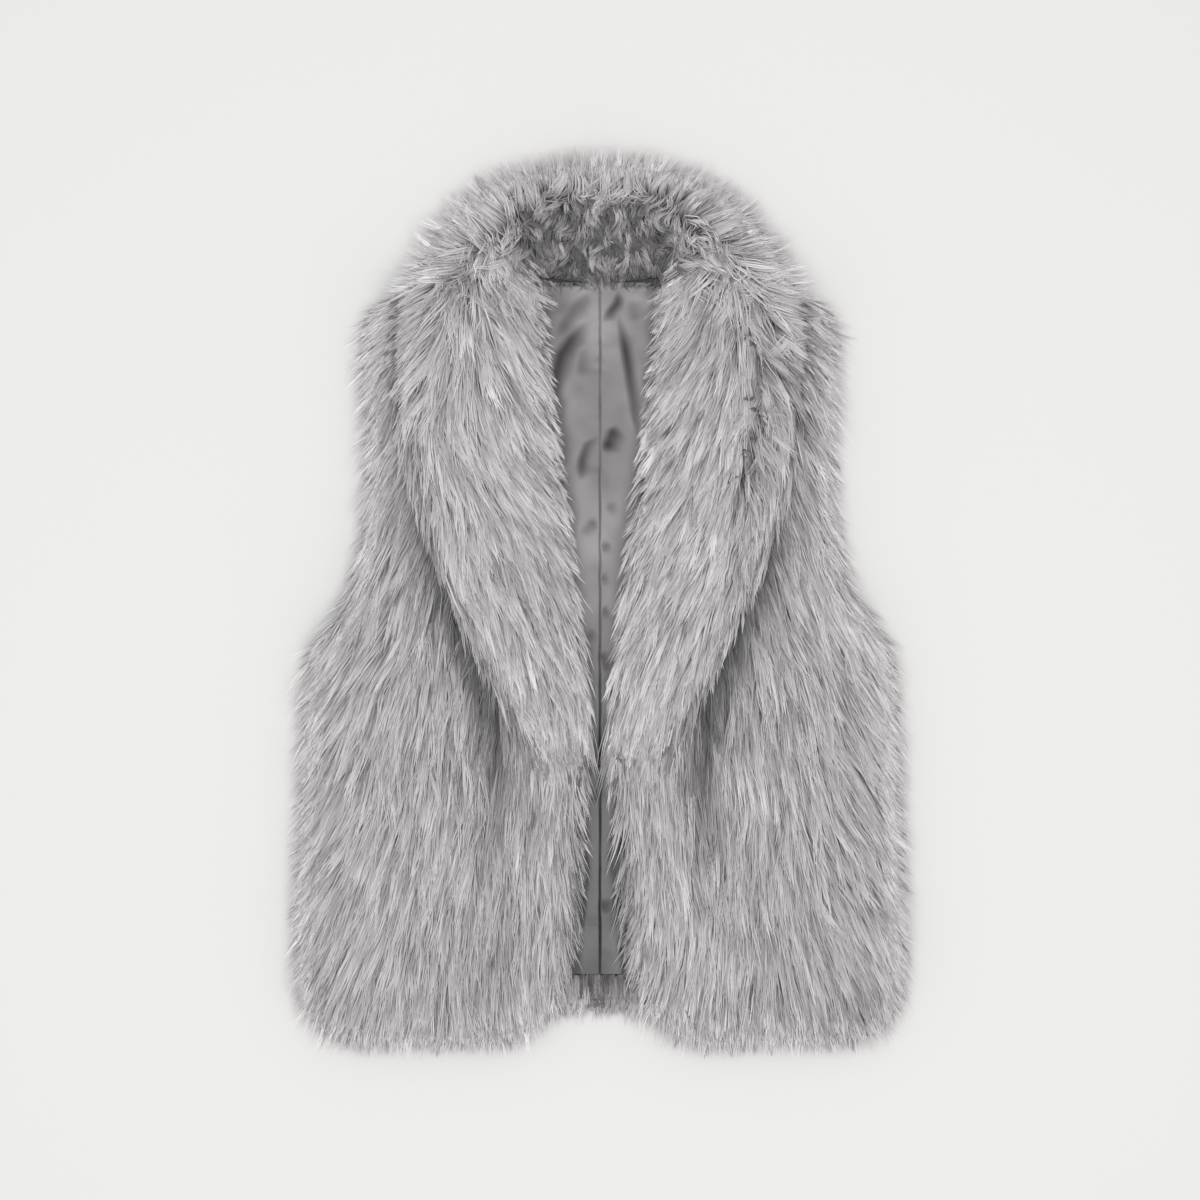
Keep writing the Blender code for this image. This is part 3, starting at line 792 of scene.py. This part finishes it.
def make_lining(vest, word, side):
    """Half of the back lining as one thin sheet, finely divided where it shows."""
    name = "satin_" + word
    form = Form("lining_back_" + word)
    rng = np.random.default_rng(71)
    drifts = [Drift(rng, cell) for cell in (26.0, 13.0, 17.0)]
    rows = []
    for y in np.concatenate((np.arange(form.ys[0], 95.0, 3.0), np.arange(95.0, NECK_SEAM, 1.5))):
        span = extent(form, y, 0.8)
        if span is None:
            continue
        near, far = sorted(side * end for end in span)
        xs = lining_columns(max(far, near + 44.0))
        yy = np.full(xs.shape, y)
        rows.append(np.stack((side * xs, yy, lining_height(side * xs, yy, vest.room(xs, yy), drifts)), 1))

    # The last row turns down into the neck seam
    rows.append(rows[-1] + np.array([0.0, 0.8, -0.9]))
    mesh = sheet_mesh(name, rows, SATIN)
    top = np.array(rows).reshape(-1, 3)
    # Painted shade in the creases, with slow patches of painted sheen, lighter and darker
    dark = crease_relief(CREASES, top[:, 0], top[:, 1])[1]
    dark = dark + 0.15 * Drift(np.random.default_rng(73), 15.0).at(top[:, 0], 0.6 * top[:, 1])
    mesh.attributes.new("painted_crease_shade", "FLOAT", "POINT").data.foreach_set("value", np.tile(dark, 2))
    lining = place(name, mesh, vest.satin)
    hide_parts("lining_back_" + word)


def make_camera():
    camera = bpy.data.cameras.new("camera")
    camera.lens = 85.0
    camera.sensor_width = 36.0
    camera.clip_end = 50.0
    eye = bpy.data.objects.new("camera", camera)
    eye.location = (0.0, 0.0024, 2.297)
    bpy.context.scene.collection.objects.link(eye)
    bpy.context.scene.camera = eye


def make_light(name, place_at, aim, size, power):
    light = bpy.data.lights.new(name, "AREA")
    light.shape = "RECTANGLE"
    light.size, light.size_y = size
    light.energy = power
    lamp = bpy.data.objects.new(name, light)
    lamp.location = place_at
    lamp.rotation_euler = (Vector(aim) - Vector(place_at)).to_track_quat("-Z", "Y").to_euler()
    bpy.context.scene.collection.objects.link(lamp)


def make_stage():
    """Pale floor, soft overhead light and an even surround."""
    mesh = bpy.data.meshes.new("floor")
    mesh.from_pydata([(-6, -6, 0), (6, -6, 0), (6, 6, 0), (-6, 6, 0)], [], [(0, 1, 2, 3)])
    finish = Finish("floor")
    finish.surface(Base_Color=(0.80, 0.797, 0.787, 1.0), Roughness=0.8, Specular_IOR_Level=0.1)
    mesh.materials.append(finish.material)
    floor = bpy.data.objects.new("floor", mesh)
    bpy.context.scene.collection.objects.link(floor)
    world = bpy.data.worlds.new("studio")
    world.use_nodes = True
    backdrop = world.node_tree.nodes["Background"]
    backdrop.inputs["Color"].default_value = (1.0, 1.0, 1.0, 1.0)
    backdrop.inputs["Strength"].default_value = 0.45
    bpy.context.scene.world = world
    make_light("softbox", (0.0, -0.20, 3.6), (0.0, -0.05, 0.0), (3.0, 2.6), 97.0)
    bpy.context.scene.view_settings.view_transform = "Standard"


def neck(x, y):
    """1 on the inside of the collar's stand, 0 elsewhere."""
    return ease((y - 248.0) / 8.0) * ease((322.0 - y) / 26.0) * ease((78.0 - np.abs(x)) / 26.0)


def top_rim(x, y):
    """1 along the collar's free top, 0 elsewhere."""
    return ease((y - 235.0) / 25.0) * (1.0 - neck(x, y))


def side_rim(x, y):
    """1 at a front's side and hem, 0 elsewhere."""
    return np.maximum(ease((x - 60.0) / 50.0), ease((-300.0 - y) / 25.0))


def inner_edge(form, x, y):
    """1 at an edge on the front opening, 0 elsewhere."""
    return ease((60.0 - x) / 20.0) * ease(1.0 - form.inset(x, y) / 12.0) * (1.0 - neck(x, y))


def valley(x, y):
    """The hollow beside the collar, 0 to 1."""
    return along_line(VALLEY, 15.0, x, y)


def speckled(x, y):
    return np.any([np.hypot(x - sx, y - sy) < radius for sx, sy, radius in SPECKS], axis=0)


def collar_reach(x, y):
    """The lower end of the collar lies over the front with no edge of its own, and its rest is tidier."""
    end = 60.0 * ease((-55.0 - y) / 40.0) * ease((x - 12.0) / 10.0)
    return 6.0 + end + 2.0 * top_rim(x, y) - 4.0 * neck(x, y)


def end_dive(x, y):
    """How far strands past the collar's lower end come down into the front's pile."""
    return 14.0 * ease((-118.0 - y) / 42.0)


class Vest:
    """What the pieces share: forms, comb fields, random fields and materials."""

    def __init__(self):
        self.front = Form("front_left", lift=4.0)
        self.collar = Form("collar_left", lift=1.5, seam=NECK_SEAM)
        self.back, self.facing = Form("back_panel"), Form("back_hem_facing")
        self.front.under = self.front.under - 8.0 * ease(1.0 - self.front.edge / 8.0)
        self.facing.top = np.maximum(self.facing.top, 19.5)
        # The dark root colour is painted shade deep in the pile
        self.fur = pile_material("fur_pile", root=(0.115, 0.109, 0.112), middle=(0.505, 0.487, 0.495),
                                 tip=(0.625, 0.605, 0.613))
        self.underfur = underfur_material()
        self.satin = satin_material()
        self.front_flow = Flow(self.front, FRONT_GUIDES)
        self.collar_flow = Flow(self.collar, COLLAR_GUIDES, 24.0)
        self.back_flow = Flow(self.back, BACK_GUIDES, 50.0)
        self.ragged = Drift(np.random.default_rng(91), 8.0)
        self.shade_holes = Drift(np.random.default_rng(97), 7.0)

    def outside_collar(self, x, y):
        """True but where the collar hides the front."""
        return self.collar.inset(x, y) < 24.0

    def room(self, x, y):
        """Distance of plan points beside the front."""
        return -self.front.inset(x, y)

    def on_front(self, x, y):
        """Lowest that the collar's strands go."""
        ground = (self.back.inset(x, y) < -3.0) & (y > 262.0) & (neck(x, y) < 0.5)
        over_end = 0.3 - 5.0 * ease((-112.0 - y) / 30.0)
        return np.where(self.front.inset(x, y) > 0.0, self.front.at(self.front.top, x, y) + over_end,
                        np.where(ground, ON_GROUND, ON_NECK))

    def on_back(self, x, y):
        """Lowest that the front's strands go: on the lining, or down beside the back at a free edge."""
        free = np.maximum(ease((x - 60.0) / 50.0), ease((-338.0 - y) / 8.0))
        return ON_LINING - 10.0 * free * ease((2.0 - self.front.inset(x, y)) / 5.0)


class CollarLook:
    """How the pile of one collar half changes over it."""

    def __init__(self, vest, side):
        self.vest, self.side = vest, side
        self.parted = 1.0 if side > 0 else RIGHT_PARTING

    def whorl(self, x, y):
        """Curly patches at the top of the collar."""
        fold = np.exp(-((x - 84.0) ** 2 + (y - 274.0) ** 2) / (2.0 * 12.0 ** 2))
        curls = self.parted * np.exp(-((x - 116.0) ** 2 + (y - 250.0) ** 2) / (2.0 * 11.0 ** 2))
        return np.maximum(fold, curls)

    def crown(self, x, y):
        """Tangled hair along the top of the stand, where the pile turns over."""
        line = 317.0 + 5.0 * self.vest.ragged.at(self.side * x, np.full(x.shape, 40.0))
        return np.exp(-((y - line) / 8.0) ** 2) * ease((66.0 - x) / 16.0)

    def torn(self, x, y):
        """The ragged parting at its full strength."""
        return along_line(PARTING, 5.5, x, y) * ease(0.55 + 0.9 * self.vest.ragged.at(x, y))

    def untidy(self, x, y):
        return np.maximum.reduce((0.8 * neck(x, y), 0.6 * self.crown(x, y), 0.5 * self.whorl(x, y),
                                  0.7 * self.parted * along_line(PARTING, 8.0, x, y)))

    def neck_painted_shade(self, x, y):
        """Painted shade inside the stand, with darker painted spots near its top."""
        hole = ease(0.5 + 1.3 * self.vest.shade_holes.at(self.side * x, y))
        deep = np.exp(-(x / 44.0) ** 2 - ((y - 304.0) / 19.0) ** 2)
        return neck(x, y) * (0.28 + 0.20 * hole) + 0.52 * deep * hole

    def shade(self, x, y):
        # Painted light on the free top and the opening's edge, painted shade inside the stand and in the
        # parting
        return (0.02 + 0.07 * top_rim(x, y) - self.neck_painted_shade(x, y) - 0.50 * self.parted * self.torn(x, y)
                + 0.11 * inner_edge(self.vest.collar, x, y))

    def sink(self, x, y):
        return 6.5 * self.parted * self.torn(x, y) + 6.0 * neck(x, y) + end_dive(x, y)


def add_fur(vest, name, node, strands, rows, thickness):
    """Pile and cloth of one CAD node, which they replace."""
    hair = pile(name + "_pile", strands, vest.fur)
    cloth = place(name + "_cloth", sheet_mesh(name + "_cloth", rows, thickness), vest.underfur)
    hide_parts(node)


def make_front(vest, word, side, rng):
    """One front: strands but where the collar hides them, and wisps at its side and hem."""
    front = vest.front
    strands = grow(
        front, vest.front_flow, rng, count=29000, accept=vest.outside_collar, floor=vest.on_back,
        rim=side_rim,
        inset=lambda x, y: 3.0 + 5.0 * side_rim(x, y) * ease((228.0 - y) / 12.0),
        # Painted shade in the hollow beside the collar and on the front's upper part, painted light along the
        # opening's edge
        shade=lambda x, y: (0.12 * inner_edge(front, x, y) - 0.05 - 0.54 * valley(x, y)
                            - 0.05 * ease((y - 60.0) / 40.0)),
        sink=lambda x, y: 7.0 * valley(x, y))
    # Wisps are lighter, roots too: painted light at the free edge
    wisps = grow(
        front, vest.front_flow, rng, count=4200, floor=vest.on_back, rim=side_rim, length=36.0, beyond=22.0,
        shade=0.19, start=0.5, **WISPS,
        accept=lambda x, y: vest.outside_collar(x, y) & (front.inset(x, y) < 22.0) & (side_rim(x, y) > 0.3))
    add_fur(vest, "front_" + word, "front_" + word, on_side(side, joined(strands, wisps)),
            cloth_rows(front, inset=7.0, side=side), FUR_CLOTH)


def make_collar(vest, word, side, rng):
    """One collar half: strands, curls where it turns over, a bridge to the front's pile, and wisps."""
    collar, flow, look = vest.collar, vest.collar_flow, CollarLook(vest, side)
    strands = grow(
        collar, flow, rng, count=24000, accept=lambda x, y: x > -2.5, floor=vest.on_front, length=52.0,
        inset=lambda x, y: 2.0 + 5.0 * top_rim(x, y) + 2.0 * neck(x, y),
        bias=0.1, mess=look.untidy, shade=look.shade, sink=look.sink, rim=top_rim, beyond=collar_reach)
    curls = grow(
        collar, curly(collar, rng, 8.0, (-10, 240), (140, 340)), rng, count=5600, floor=vest.on_front,
        accept=lambda x, y: (x > -2.0) & (neck(x, y) + look.whorl(x, y) + look.crown(x, y)
                                          > rng.uniform(size=x.shape)),
        length=19.0, width=0.9, lock=4.2, pull=0.75, inset=2.0, lay=6.0, mess=0.35, beyond=2.5, start=0.2,
        # The curls inside the stand carry its painted shade
        shade=lambda x, y: 0.03 - 0.95 * look.neck_painted_shade(x, y))
    # Dark tufts where the parting has gaps: painted shade
    if side > 0:
        specks = grow(
            collar, curly(collar, rng, 6.0, (90, 80), (150, 240)), rng, count=190, accept=speckled,
            floor=vest.on_front, length=9.0, width=0.8, lock=2.6, pull=0.5, lay=1.5, mess=0.6, shade=-0.26)
        curls = joined(curls, specks)
    bridge = grow(
        collar, flow, rng, count=2000, floor=vest.on_front, sink=end_dive,
        accept=lambda x, y: (y < -58.0) & (rng.uniform(size=x.shape) < (-50.0 - y) / 60.0),
        width=1.15, inset=1.0, lay=4.0, bias=0.0, beyond=200.0, start=0.3, shade=-0.04)
    # Wisps are lighter, roots too: painted light at the free edge
    wisps = grow(
        collar, flow, rng, count=3400, floor=vest.on_front, rim=top_rim, length=34.0, beyond=19.0,
        shade=0.19, start=0.5, **WISPS,
        accept=lambda x, y: (x > 0.2) & (collar.inset(x, y) < 22.0) & (top_rim(x, y) > 0.3))
    add_fur(vest, "collar_" + word, "collar_" + word, on_side(side, joined(strands, curls, bridge, wisps)),
            cloth_rows(collar, inset=6.0, side=side, least=0.3, bend=neck_seam), FUR_CLOTH)


def make_back(vest):
    """The back, with strands that go down to the surface that the vest lies on."""
    back = vest.back

    def height(x, y):
        return 9.5 - 3.5 * ease(1.0 - back.inset(x, y) / 20.0)

    def hanging(px, py, rise, rng):
        foot = height(px[:, :1], py[:, :1]) - 1.5
        low = 0.8 + 5.0 * rng.uniform(size=(len(px), 1)) ** 2
        near = ease(1.0 - back.inset(px, py) / 14.0)
        spread = 1.0 + 12.0 * rng.uniform(size=(len(px), 1))
        return foot + (low * (1.0 - near) + spread * near - foot) * rise

    rng = np.random.default_rng(37)
    halves = []
    for side in (1.0, -1.0):
        # Strands near the back's edge, and its wisps, are lighter: painted light
        strands = grow(
            back, vest.back_flow, rng, count=10500, accept=lambda x, y: x > -2.0, floor=ON_GROUND,
            length=54.0, width=1.8, lock=7.0, drop=hanging,
            beyond=lambda x, y: 3.0 + 13.0 * ease((-290.0 - y) / 20.0) * ease((70.0 - x) / 20.0),
            shade=lambda x, y: 0.15 * ease(1.0 - back.inset(x, y) / 16.0))
        wisps = grow(
            back, vest.back_flow, rng, count=3000, floor=ON_GROUND, length=36.0, drop=hanging, beyond=21.0,
            shade=0.25, start=0.6, **WISPS, accept=lambda x, y: (x > -2.0) & (back.inset(x, y) < 20.0))
        halves.append(on_side(side, joined(strands, wisps)))
    rows = cloth_rows(back, inset=12.0, step=8.0, columns=44, bend=hem_arch, height=height)
    add_fur(vest, "back", "back_panel", joined(*halves), rows, FUR_CLOTH)


def make_facing(vest):
    """The strip inside the back's hem, which turns down there with its strands."""
    facing = vest.facing

    def past_turn(x, y, before):
        """Distance past a line that lies some way before the facing's turn."""
        return hem_arch(x, np.full(x.shape, FACING_TURN)) + before - y

    def drooped(x, y):
        return 9.0 * ease(past_turn(x, y, 2.0) / 10.0)

    def height(x, y):
        return FACING_TOP - 5.0 * ease(past_turn(x, y, 7.0) / 7.0)

    strands = grow(
        facing, Flow(facing, ((0, -320, 0), (100, -320, 6), (-100, -320, -6)), 60.0),
        np.random.default_rng(53), count=5600, accept=lambda x, y: (np.abs(x) < 44.0) & (y < -298.0),
        floor=lambda x, y: ON_FACING - drooped(x, y), sink=drooped,
        length=28.0, width=0.9, lock=4.0, pull=0.5, inset=-1.0, lay=3.5, beyond=14.0, trim=-5.0, start=0.3,
        # Darker up under the lining's hem: painted shade
        shade=lambda x, y: -0.48 + 0.52 * ease((-306.0 - y) / 24.0))
    rows = cloth_rows(facing, inset=1.5, step=4.0, columns=44, bend=hem_arch, height=height)
    add_fur(vest, "facing", "back_hem_facing", strands, rows, FACING_CLOTH)


def main():
    make_camera()
    make_stage()
    vest = Vest()
    for word, side, seed in (("left", 1.0, 11), ("right", -1.0, 23)):
        rng = np.random.default_rng(seed)
        make_front(vest, word, side, rng)
        make_collar(vest, word, side, rng)
        make_lining(vest, word, side)
    make_back(vest)
    make_facing(vest)


main()
